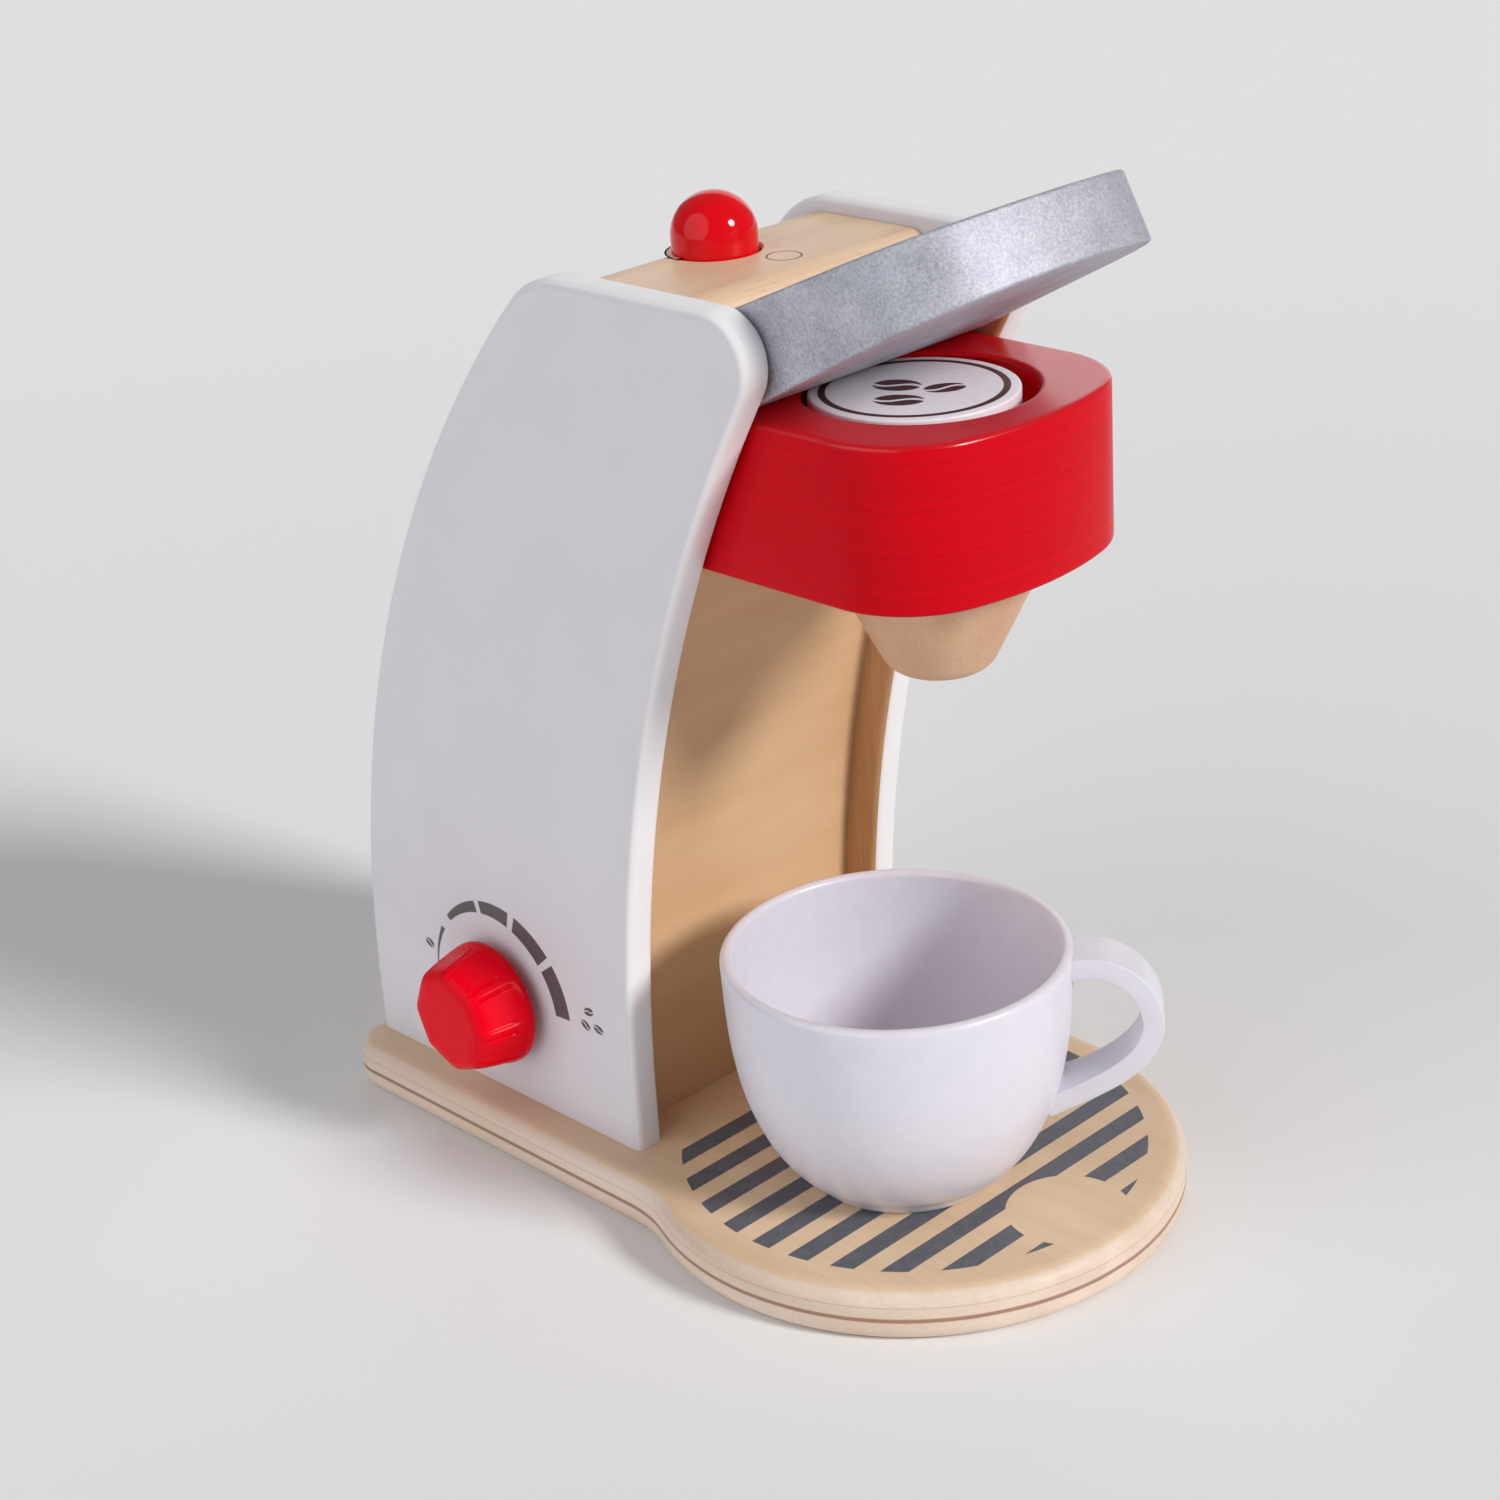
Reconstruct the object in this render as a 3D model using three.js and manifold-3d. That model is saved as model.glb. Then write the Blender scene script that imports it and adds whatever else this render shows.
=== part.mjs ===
// A toy coffee maker in wood: two painted side panels on a round-nosed plywood base, with a brewing
// head, a hinged lid, a spout, a dial knob, a push button, a coffee pad and a plastic cup.
// Millimetres, +Z up, the front faces -Y, and the origin is under the middle of the base.
import * as THREE from 'three';
import { mergeVertices } from 'three/addons/utils/BufferGeometryUtils.js';
import Module from 'manifold-3d';

const wasm = await Module();
wasm.setup();

// Side panels, curved in front and behind; the lean is how far the front edge comes forward at the top
const bodyHeight = 193;
const bodyGap = 64.5;
const panelThickness = 7;
const panelFootLength = 84;
const panelTopLength = 64.2;
const panelRearSetback = 3;
const panelCurveStart = 21;
const frontLean = 54.2;
const frontTopRadius = 10;
const rearTopRadius = 20;
const panelEdgeRound = 1.8;

// Base board, with a round tray in front and a narrower tail under the body
const baseThickness = 11;
const tailMargin = 8.75;
const trayFlare = 7;
const trayToBody = 40;
const neckRadius = 30;
const tailCornerRadius = 9;
const baseEdgeRound = 3.5;

// Boards and block between the panels
const frontBoardRecess = 8;
const frontBoardThickness = 8;
const backBoardRecess = 4;
const backBoardThickness = 5;
const blockHeight = 18;
const blockInset = 3;
const blockFrontRound = 4.5;
const blockFrontPlay = 0.5;

// Brewing head and the round recess for the pad
const headHeight = 31;
const headReach = 80;
const headRearGap = 0.5;
const headCornerRadius = 20;
const headFrontRadius = 66;
const headEdgeRound = 0.9;
const recessRadius = 21.5;
const recessDepth = 4.6;
const recessSetback = 30;

// Coffee pad, loose in the recess
const padRadius = 18.8;
const padThickness = 4.1;
const padEdgeRound = 0.8;
const padShift = 1.8;

// Spout
const spoutLength = 22.6;
const spoutTopRadius = 20.7;
const spoutTipRadius = 11.5;
const spoutTipRound = 5.5;
const spoutShift = 2.5;

// Lid, which turns on two pins at its back edge and grows thinner towards the front
const lidThickness = 17.4;
const lidFrontThickness = 12.8;
const lidOverhang = 12;
const lidHingeInset = 12.8;
const lidOpenAngle = 28;
const lidCornerRadius = 18;
const lidFrontRadius = 56;
const lidEdgeRound = 1.5;
const lidPlay = 0.4;
const lidPinRadius = 2.5;
const lidPinInPanel = 4.5;
const lidPinInLid = 10;

// Dial knob on the left panel, with its spindle
const knobHeight = 33.7;
const knobSetback = 39.5;
const knobRadius = 13.6;
const knobTipRadius = 11.2;
const knobLength = 12.6;
const knobGrips = 8;
const knobGrooveWidth = 2.4;
const knobGrooveDepth = 0.9;
const knobTipRound = 1.6;
const knobPlay = 0.2;
const spindleRadius = 4;
const spindleInKnob = 8;
const spacerRadius = 8;
const spacerThickness = 2.5;
const collarRadius = 9;
const collarThickness = 4;
const collarPlay = 0.3;

// Push button with its collar and spring
const buttonRadius = 8.3;
const buttonRise = 3;
const buttonPlaceShare = 0.586;
const buttonPlay = 0.4;
const buttonCollarRadius = 9.9;
const buttonCollarThickness = 3;
const buttonBoreHeight = 8;
const springPocketDepth = 8;
const springRadius = 7.4;
const springWireRadius = 0.6;
const springTurns = 6;
const springTurnSteps = 8;
const springWireSides = 5;
const springPlay = 0.3;

// Cup
const cupHeight = 49;
const cupRimRadius = 34.4;
const cupFootRadius = 19.5;
const cupWall = 2.4;
const cupFloor = 3;
const cupRimRound = 1.2;
const cupOffsetX = -7.2;
const cupOffsetY = -4.4;
const handleReach = 51.7;
const handleWidth = 10;
const handleThickness = 4.2;
const handleTopDrop = 0.8;
const handleFootHeight = 11.5;
const handleEdgeRound = 1.2;
const handleTurn = -51;
// Outside of the bowl from the foot to the rim: height and radius as shares of the cup's own
const cupWallShares = [
  [0.03, 0.575],
  [0.085, 0.685],
  [0.19, 0.785],
  [0.3, 0.86],
  [0.44, 0.925],
  [0.61, 0.97],
  [0.78, 0.992],
];
// Middle line of the handle from its top to its foot: reach and height as shares of the handle's own
const handleLineShares = [
  [0.2, 0.97],
  [0.55, 1],
  [0.86, 0.9],
  [1, 0.68],
  [0.86, 0.42],
  [0.5, 0.17],
  [0.05, 0],
];

// Fasteners and dowels
const dowelRadius = 4;
const dowelInPanel = 4;
const headDowelLength = 24;
const blockDowelLength = 18;
const spoutDowelLength = 24;
const headDowelHeight = 15;
const headDowelSetback = 17.5;
const blockDowelHeight = 9;
const blockDowelSetback = 8.5;
const dowelPlay = 0.3;
const baseScrewRadius = 1.6;
const baseScrewHeadRadius = 3.6;
const baseScrewHeadHeight = 2.6;
const baseScrewLength = 26;
const baseScrewSink = 4;
const baseScrewInset = 15;
const slotWidth = 1;
const slotDepth = 1.1;
const smallScrewRadius = 1.5;
const smallScrewHeadRadius = 3.4;
const smallScrewHeadHeight = 2;
const smallScrewLength = 10;
const spindleScrewLap = 1.4;
const screwPlay = 0.3;

// How finely curves are stepped, and how far a cutter runs past what it cuts
const curveTolerance = 0.07;
const roundSteps = 2;
const pointGap = 0.001;
const overrun = 1;

const quarterTurn = Math.PI / 2;
const halfTurn = Math.PI;
const fullTurn = 2 * Math.PI;

// Places across the body
const panelInnerX = bodyGap / 2;
const panelMiddleX = panelInnerX + panelThickness / 2;
const panelOuterX = panelInnerX + panelThickness;
const tailHalf = panelOuterX + tailMargin;
const trayRadius = tailHalf + trayFlare;

// Places along the base, whose middle is the origin
const baseLength = trayRadius + trayToBody + panelFootLength + panelRearSetback;
const trayY = trayRadius - baseLength / 2;
const panelFrontY = trayY + trayToBody;
const panelRearY = panelFrontY + panelFootLength;

// Curved edges of the panels: arcs that start upright at one height and lean forward to the top
const curveRise = bodyHeight - panelCurveStart;
const rearLean = panelFootLength + frontLean - panelTopLength;
const frontEdgeRadius = (curveRise * curveRise + frontLean * frontLean) / (2 * frontLean);
const rearEdgeRadius = (curveRise * curveRise + rearLean * rearLean) / (2 * rearLean);
const frontArcY = panelFrontY - frontEdgeRadius;
const rearArcY = panelRearY - rearEdgeRadius;

// Where an arc about one of the edges' centres passes a height
function arcAt(arcY, radius, z) {
  return arcY + Math.sqrt(radius ** 2 - (z - panelCurveStart) ** 2);
}

// Heights down from the top, and places back from the front
const blockTop = bodyHeight - blockInset;
const headTop = blockTop - blockHeight;
const headUnderside = headTop - headHeight;
const headFrontY = panelFrontY - headReach;
const recessY = headFrontY + recessSetback;
const spoutY = recessY - spoutShift;
const hingeZ = headTop + lidPlay + lidThickness / 2;
const hingeY = arcAt(frontArcY, frontEdgeRadius, hingeZ) + lidHingeInset;
const blockFrontY = hingeY + lidThickness / 2 + blockFrontPlay;
const buttonBoreRadius = buttonCollarRadius + buttonPlay;
const buttonStop = headTop + buttonBoreHeight;
const blockRearY = arcAt(rearArcY, rearEdgeRadius - blockInset, buttonStop);
const buttonY = blockFrontY + (blockRearY - blockFrontY) * buttonPlaceShare;
const backBoardOuter = rearEdgeRadius - backBoardRecess;
const backBoardInner = backBoardOuter - backBoardThickness;
const headRearY = arcAt(rearArcY, backBoardInner, headTop) - headRearGap;
const headDowelY = hingeY + headDowelSetback;
const headDowelZ = headUnderside + headDowelHeight;
const blockDowelY = blockFrontY + blockDowelSetback;
const blockDowelZ = headTop + blockDowelHeight;
const knobY = panelFrontY + knobSetback;
const cupX = cupOffsetX;
const cupY = trayY + cupOffsetY;

// Finishes
const finishes = {
  white: { color: 0xe9e8ea, roughness: 0.55, metalness: 0 },
  plywood: { color: 0xe0bd94, roughness: 0.6, metalness: 0 },
  beech: { color: 0xdcb083, roughness: 0.6, metalness: 0 },
  red: { color: 0xc50318, roughness: 0.3, metalness: 0 },
  silver: { color: 0xb9bcc4, roughness: 0.35, metalness: 0.8 },
  cup: { color: 0xe4e2ea, roughness: 0.35, metalness: 0 },
  pad: { color: 0xeeeaf0, roughness: 0.5, metalness: 0 },
  steel: { color: 0xa9abae, roughness: 0.35, metalness: 1 },
  zinc: { color: 0xb8b9ba, roughness: 0.45, metalness: 1 },
};

// A closed geometry as a solid that can be joined and cut
function solid(geometry) {
  const bare = geometry.clone();
  bare.deleteAttribute('normal');
  bare.deleteAttribute('uv');
  const merged = mergeVertices(bare);
  return new wasm.Manifold(new wasm.Mesh({
    numProp: 3,
    vertProperties: new Float32Array(merged.attributes.position.array),
    triVerts: new Uint32Array(merged.index.array),
  }));
}

// A solid as a named mesh with a finish of its own
function piece(name, body, finish) {
  const mesh = body.getMesh();
  const places = new Float32Array(mesh.vertProperties);
  const geometry = new THREE.BufferGeometry();
  geometry.setAttribute('position', new THREE.BufferAttribute(places, 3));
  geometry.setIndex(new THREE.BufferAttribute(new Uint32Array(mesh.triVerts), 1));
  geometry.computeVertexNormals();
  const node = new THREE.Mesh(geometry, new THREE.MeshStandardMaterial(finishes[finish]));
  node.name = name;
  return node;
}

// The turn between neighbouring points that keeps a chord close to its arc
function arcStep(radius) {
  return 2 * Math.acos(1 - curveTolerance / radius);
}

function arc(x, y, radius, from, to) {
  const steps = Math.ceil(Math.abs(to - from) / arcStep(radius));
  const points = [];
  for (let i = 0; i <= steps; i += 1) {
    const angle = from + ((to - from) * i) / steps;
    points.push(new THREE.Vector2(x + radius * Math.cos(angle), y + radius * Math.sin(angle)));
  }
  return points;
}

// An outline through points, pushed up by a height, with its long edges rounded
function plate(points, thickness, round) {
  const kept = points.filter((point, i) => point.distanceTo(points.at(i - 1)) > pointGap);
  const geometry = new THREE.ExtrudeGeometry(new THREE.Shape(kept), {
    depth: thickness - 2 * round,
    bevelEnabled: round > 0,
    bevelThickness: round,
    bevelSize: round,
    bevelOffset: -round,
    bevelSegments: roundSteps,
  });
  return geometry.translate(0, 0, round);
}

// Turns a plate drawn in x and y so that it is drawn in y and z and its thickness runs along x
function acrossBody(geometry) {
  const turn = new THREE.Matrix4().makeBasis(
    new THREE.Vector3(0, 1, 0),
    new THREE.Vector3(0, 0, 1),
    new THREE.Vector3(1, 0, 0),
  );
  return geometry.applyMatrix4(turn);
}

function rod(radius, length) {
  return new THREE.CylinderGeometry(radius, radius, length, Math.ceil(fullTurn / arcStep(radius)));
}

function rodAlongZ(radius, from, to) {
  return rod(radius, to - from).rotateX(quarterTurn).translate(0, 0, (from + to) / 2);
}

function rodAlongX(radius, from, to) {
  return rod(radius, Math.abs(to - from)).rotateZ(quarterTurn).translate((from + to) / 2, 0, 0);
}

// A cutter along x for a blind hole in a face, on the left (-1) or the right (1)
function sideHole(radius, side, face, depth) {
  return rodAlongX(radius, side * (face - depth), side * (face + overrun));
}

function boxBetween(low, high) {
  const size = high.map((value, i) => value - low[i]);
  const middle = high.map((value, i) => (value + low[i]) / 2);
  return new THREE.BoxGeometry(...size).translate(...middle);
}

// A profile of radius and height turned about z; it runs upwards from axis to axis
function turned(points) {
  const widest = Math.max(...points.map((point) => point.x));
  return new THREE.LatheGeometry(points, Math.ceil(fullTurn / arcStep(widest))).rotateX(quarterTurn);
}

function at(x, y) {
  return new THREE.Vector2(x, y);
}

// Tangent circle inside one of the curved edges, which rounds the corner under a level top
function topCorner(arcY, arcRadius, radius, top, hollow) {
  const rise = top - radius - panelCurveStart;
  const reach = hollow ? arcRadius + radius : arcRadius - radius;
  const y = arcY + Math.sqrt(reach * reach - rise * rise);
  return { y, z: top - radius, angle: Math.asin(rise / reach) };
}

// Base board: a circle and a straight-sided tail with a hollow neck between them
function baseOutline() {
  const neckX = tailHalf + neckRadius;
  const neckY = trayY + Math.sqrt((trayRadius + neckRadius) ** 2 - neckX ** 2);
  const join = Math.atan2(neckY - trayY, neckX);
  const cornerX = tailHalf - tailCornerRadius;
  const cornerY = baseLength / 2 - tailCornerRadius;
  return [
    ...arc(0, trayY, trayRadius, halfTurn - join, fullTurn + join),
    ...arc(neckX, neckY, neckRadius, halfTurn + join, halfTurn),
    ...arc(cornerX, cornerY, tailCornerRadius, 0, quarterTurn),
    ...arc(-cornerX, cornerY, tailCornerRadius, quarterTurn, halfTurn),
    ...arc(-neckX, neckY, neckRadius, 0, -join),
  ];
}

// Where each panel's screws stand
const baseScrewPlaces = [];
for (const side of [-1, 1]) {
  for (const y of [panelFrontY + baseScrewInset, panelRearY - baseScrewInset]) {
    baseScrewPlaces.push([side * panelMiddleX, y]);
  }
}

function baseBoard() {
  let body = solid(plate(baseOutline(), baseThickness, baseEdgeRound));
  for (const [x, y] of baseScrewPlaces) {
    const shank = rodAlongZ(baseScrewRadius + screwPlay, -overrun, baseThickness + overrun);
    const sink = rodAlongZ(baseScrewHeadRadius + screwPlay, -overrun, baseScrewSink);
    body = body.subtract(solid(shank.translate(x, y, 0)));
    body = body.subtract(solid(sink.translate(x, y, 0)));
  }
  return piece('base_board', body, 'plywood');
}

// A countersunk wood screw, head down, with a cross slot
function woodScrew(headRadius, headHeight, radius, length) {
  const tip = length - 2 * radius;
  let body = solid(turned([
    at(0, 0),
    at(headRadius, 0),
    at(headRadius, headHeight),
    at(radius, headHeight),
    at(radius, tip),
    at(0, length),
  ]));
  for (const turn of [0, quarterTurn]) {
    const slot = new THREE.BoxGeometry(headRadius, slotWidth, 2 * slotDepth);
    body = body.subtract(solid(slot.rotateZ(turn)));
  }
  return body;
}

function baseScrews() {
  return baseScrewPlaces.map(([x, y], i) => {
    const body = woodScrew(baseScrewHeadRadius, baseScrewHeadHeight, baseScrewRadius, baseScrewLength);
    const screw = piece(`base_screw_${i + 1}`, body, 'zinc');
    screw.position.set(x, y, baseScrewSink - baseScrewHeadHeight);
    return screw;
  });
}

// Panel outline; its foot runs on below the base's top so that the rounded edge there is cut away
function panelOutline() {
  const front = topCorner(frontArcY, frontEdgeRadius, frontTopRadius, bodyHeight, true);
  const rear = topCorner(rearArcY, rearEdgeRadius, rearTopRadius, bodyHeight, false);
  return [
    at(panelFrontY, 0),
    ...arc(frontArcY, panelCurveStart, frontEdgeRadius, 0, front.angle),
    ...arc(front.y, front.z, frontTopRadius, front.angle + halfTurn, quarterTurn),
    ...arc(rear.y, rear.z, rearTopRadius, quarterTurn, rear.angle),
    ...arc(rearArcY, panelCurveStart, rearEdgeRadius, rear.angle, 0),
    at(panelRearY, 0),
  ];
}

// Holes in a panel, drilled from the inside face outwards
function panelHoles(side) {
  const inner = side * panelInnerX;
  const blind = (radius, depth, y, z) => (
    rodAlongX(radius, inner - side * overrun, inner + side * depth).translate(0, y, z)
  );
  const holes = [
    blind(lidPinRadius + dowelPlay, lidPinInPanel, hingeY, hingeZ),
    blind(dowelRadius + dowelPlay, dowelInPanel, headDowelY, headDowelZ),
    blind(dowelRadius + dowelPlay, dowelInPanel, blockDowelY, blockDowelZ),
  ];
  for (const [x, y] of baseScrewPlaces) {
    if (Math.sign(x) === side) {
      const top = baseScrewSink - baseScrewHeadHeight + baseScrewLength + screwPlay;
      const hole = rodAlongZ(baseScrewRadius + screwPlay, baseThickness - overrun, top);
      holes.push(hole.translate(x, y, 0));
    }
  }
  if (side < 0) {
    const ends = [side * (panelInnerX - overrun), side * (panelOuterX + overrun)];
    holes.push(rodAlongX(spindleRadius + dowelPlay, ...ends).translate(0, knobY, knobHeight));
  }
  return holes;
}

function sidePanel(name, side) {
  const sheet = acrossBody(plate(panelOutline(), panelThickness, panelEdgeRound));
  const below = boxBetween(
    [-panelOuterX - overrun, panelFrontY - overrun, -overrun],
    [panelOuterX + overrun, panelRearY + overrun, baseThickness],
  );
  let body = solid(sheet.translate(side > 0 ? panelInnerX : -panelOuterX, 0, 0)).subtract(solid(below));
  for (const hole of panelHoles(side)) {
    body = body.subtract(solid(hole));
  }
  return piece(name, body, 'white');
}

// A board bent to an arc between two radii, from the base up to a level top
function bentBoard(name, arcY, innerRadius, outerRadius, top) {
  const outerAngle = Math.asin((top - panelCurveStart) / outerRadius);
  const innerAngle = Math.asin((top - panelCurveStart) / innerRadius);
  const points = [
    at(arcY + innerRadius, baseThickness),
    at(arcY + outerRadius, baseThickness),
    ...arc(arcY, panelCurveStart, outerRadius, 0, outerAngle),
    ...arc(arcY, panelCurveStart, innerRadius, innerAngle, 0),
  ];
  const board = acrossBody(plate(points, bodyGap, 0)).translate(-panelInnerX, 0, 0);
  return piece(name, solid(board), 'plywood');
}

function frontBoard() {
  const face = frontEdgeRadius + frontBoardRecess;
  return bentBoard('front_board', frontArcY, face, face + frontBoardThickness, headUnderside);
}

function backBoard() {
  return bentBoard('back_board', rearArcY, backBoardInner, backBoardOuter, headTop);
}

// Top block: its back follows the panels, its front stands clear of the lid, and the button goes through
function topBlock() {
  const backRadius = rearEdgeRadius - blockInset;
  const round = rearTopRadius - blockInset;
  const corner = topCorner(rearArcY, backRadius, round, blockTop, false);
  const footAngle = Math.asin((headTop - panelCurveStart) / backRadius);
  const frontRoundY = blockFrontY + blockFrontRound;
  const points = [
    at(blockFrontY, headTop),
    ...arc(frontRoundY, blockTop - blockFrontRound, blockFrontRound, halfTurn, quarterTurn),
    ...arc(corner.y, corner.z, round, quarterTurn, corner.angle),
    ...arc(rearArcY, panelCurveStart, backRadius, corner.angle, footAngle),
  ];
  let body = solid(acrossBody(plate(points, bodyGap, 0)).translate(-panelInnerX, 0, 0));
  const cuts = [
    rodAlongZ(buttonRadius + buttonPlay, headTop - overrun, blockTop + overrun),
    rodAlongZ(buttonBoreRadius, headTop - overrun, buttonStop),
  ];
  for (const cut of cuts) {
    body = body.subtract(solid(cut.translate(0, buttonY, 0)));
  }
  for (const side of [-1, 1]) {
    const hole = sideHole(dowelRadius + dowelPlay, side, panelInnerX, blockDowelLength - dowelInPanel);
    body = body.subtract(solid(hole.translate(0, blockDowelY, blockDowelZ)));
  }
  return piece('top_block', body, 'beech');
}

// A plan with straight sides, round front corners and a gently curved front
function noseOutline(half, front, rear, cornerRadius, frontRadius) {
  const cornerX = half - cornerRadius;
  const reach = frontRadius - cornerRadius;
  const cornerY = front + frontRadius - Math.sqrt(reach * reach - cornerX * cornerX);
  const lean = Math.asin(cornerX / reach);
  const down = 3 * quarterTurn;
  return [
    at(-half, rear),
    ...arc(-cornerX, cornerY, cornerRadius, halfTurn, down - lean),
    ...arc(0, front + frontRadius, frontRadius, down - lean, down + lean),
    ...arc(cornerX, cornerY, cornerRadius, down + lean, fullTurn),
    at(half, rear),
  ];
}

function brewHead() {
  const plan = noseOutline(panelInnerX, headFrontY, headRearY, headCornerRadius, headFrontRadius);
  let body = solid(plate(plan, headHeight, headEdgeRound).translate(0, 0, headUnderside));
  const recess = rodAlongZ(recessRadius, headTop - recessDepth, headTop + overrun);
  const pocket = rodAlongZ(buttonBoreRadius, headTop - springPocketDepth, headTop + overrun);
  const spoutHoleTop = headUnderside + spoutDowelLength / 2;
  const spoutHole = rodAlongZ(dowelRadius + dowelPlay, headUnderside - overrun, spoutHoleTop);
  body = body.subtract(solid(recess.translate(0, recessY, 0)));
  body = body.subtract(solid(pocket.translate(0, buttonY, 0)));
  body = body.subtract(solid(spoutHole.translate(0, spoutY, 0)));
  for (const side of [-1, 1]) {
    const hole = sideHole(dowelRadius + dowelPlay, side, panelInnerX, headDowelLength - dowelInPanel);
    body = body.subtract(solid(hole.translate(0, headDowelY, headDowelZ)));
  }
  return piece('brew_head', body, 'red');
}

// Dowels along x join the head and the block to the panels, and one along z holds the spout
function dowels() {
  const nodes = [];
  const sides = [['left', -1], ['right', 1]];
  for (const [word, side] of sides) {
    const outer = side * (panelInnerX + dowelInPanel - dowelPlay);
    const headInner = side * (panelInnerX - headDowelLength + dowelInPanel + dowelPlay);
    const blockInner = side * (panelInnerX - blockDowelLength + dowelInPanel + dowelPlay);
    const headRod = solid(rodAlongX(dowelRadius, headInner, outer));
    const blockRod = solid(rodAlongX(dowelRadius, blockInner, outer));
    const inHead = piece(`head_dowel_${word}`, headRod, 'beech');
    inHead.position.set(0, headDowelY, headDowelZ);
    const inBlock = piece(`block_dowel_${word}`, blockRod, 'beech');
    inBlock.position.set(0, blockDowelY, blockDowelZ);
    nodes.push(inHead, inBlock);
  }
  const half = spoutDowelLength / 2 - dowelPlay;
  const inSpout = piece('spout_dowel', solid(rodAlongZ(dowelRadius, -half, half)), 'beech');
  inSpout.position.set(0, spoutY, headUnderside);
  nodes.push(inSpout);
  return nodes;
}

// Spout: a turned cone with a rounded tip, glued under the head
function spout() {
  const points = [
    at(0, -spoutLength),
    ...arc(spoutTipRadius - spoutTipRound, spoutTipRound - spoutLength, spoutTipRound, -quarterTurn, 0),
    at(spoutTopRadius, 0),
    at(0, 0),
  ];
  const hole = rodAlongZ(dowelRadius + dowelPlay, -spoutDowelLength / 2, overrun);
  const node = piece('spout', solid(turned(points)).subtract(solid(hole)), 'beech');
  node.position.set(0, spoutY, headUnderside);
  return node;
}

function coffeePad() {
  const disc = plate(arc(0, 0, padRadius, 0, fullTurn), padThickness, padEdgeRound);
  const node = piece('coffee_pad', solid(disc), 'pad');
  node.position.set(0, recessY + padShift, headTop - recessDepth);
  return node;
}

// Lid: a nose-shaped wedge, drawn closed with its hinge at the origin, whose back edge is round about it
function lid() {
  const half = lidThickness / 2;
  const sideHalf = panelInnerX - lidPlay;
  const front = headFrontY - lidOverhang - hingeY;
  const plan = noseOutline(sideHalf, front, lidThickness, lidCornerRadius, lidFrontRadius);
  const slab = plate(plan, lidThickness, lidEdgeRound);
  const places = slab.attributes.position;
  for (let i = 0; i < places.count; i += 1) {
    const forward = places.getY(i) / front;
    places.setZ(i, places.getZ(i) * (1 + (lidFrontThickness / lidThickness - 1) * forward));
  }
  const profile = [
    at(front - overrun, half + overrun),
    at(front - overrun, -half - overrun),
    at(0, -half - overrun),
    ...arc(0, 0, half, -quarterTurn, quarterTurn),
    at(0, half + overrun),
  ];
  const trim = solid(acrossBody(plate(profile, bodyGap, 0)).translate(-panelInnerX, 0, 0));
  let body = solid(slab.translate(0, 0, -half)).intersect(trim);
  for (const side of [-1, 1]) {
    body = body.subtract(solid(sideHole(lidPinRadius + dowelPlay, side, sideHalf, lidPinInLid)));
  }
  const node = piece('lid', body, 'silver');
  const turn = new THREE.Group();
  turn.position.set(0, hingeY, hingeZ);
  turn.rotation.x = -THREE.MathUtils.degToRad(lidOpenAngle);
  turn.add(node);
  return turn;
}

function lidPins() {
  return [['left', -1], ['right', 1]].map(([word, side]) => {
    const inner = side * (panelInnerX - lidPlay - lidPinInLid + dowelPlay);
    const outer = side * (panelInnerX + lidPinInPanel - dowelPlay);
    const pin = piece(`lid_pin_${word}`, solid(rodAlongX(lidPinRadius, inner, outer)), 'steel');
    pin.position.set(0, hingeY, hingeZ);
    return pin;
  });
}

// Knob: a tapered grip with wide flats and a narrow groove between each two, and a rounded end face
function knobBody() {
  const points = [];
  const halfGroove = Math.asin(knobGrooveWidth / 2 / knobRadius);
  for (let i = 0; i < knobGrips; i += 1) {
    const from = (i * fullTurn) / knobGrips;
    const to = ((i + 1) * fullTurn) / knobGrips;
    const groove = knobRadius - knobGrooveDepth;
    points.push(at(groove * Math.cos(from), groove * Math.sin(from)));
    points.push(at(knobRadius * Math.cos(from + halfGroove), knobRadius * Math.sin(from + halfGroove)));
    points.push(at(knobRadius * Math.cos(to - halfGroove), knobRadius * Math.sin(to - halfGroove)));
  }
  const geometry = plate(points, knobLength + knobTipRound, knobTipRound);
  const places = geometry.attributes.position;
  for (let i = 0; i < places.count; i += 1) {
    const along = places.getZ(i) / (knobLength + knobTipRound);
    const scale = 1 + (knobTipRadius / knobRadius - 1) * along;
    places.setXY(i, places.getX(i) * scale, places.getY(i) * scale);
  }
  geometry.translate(0, 0, -knobTipRound).rotateY(-quarterTurn);
  const behind = boxBetween(
    [0, -knobRadius, -knobRadius],
    [knobTipRound + overrun, knobRadius, knobRadius],
  );
  const hole = rodAlongX(spindleRadius + dowelPlay, overrun, -spindleInKnob);
  return solid(geometry).subtract(solid(behind)).subtract(solid(hole));
}

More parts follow.
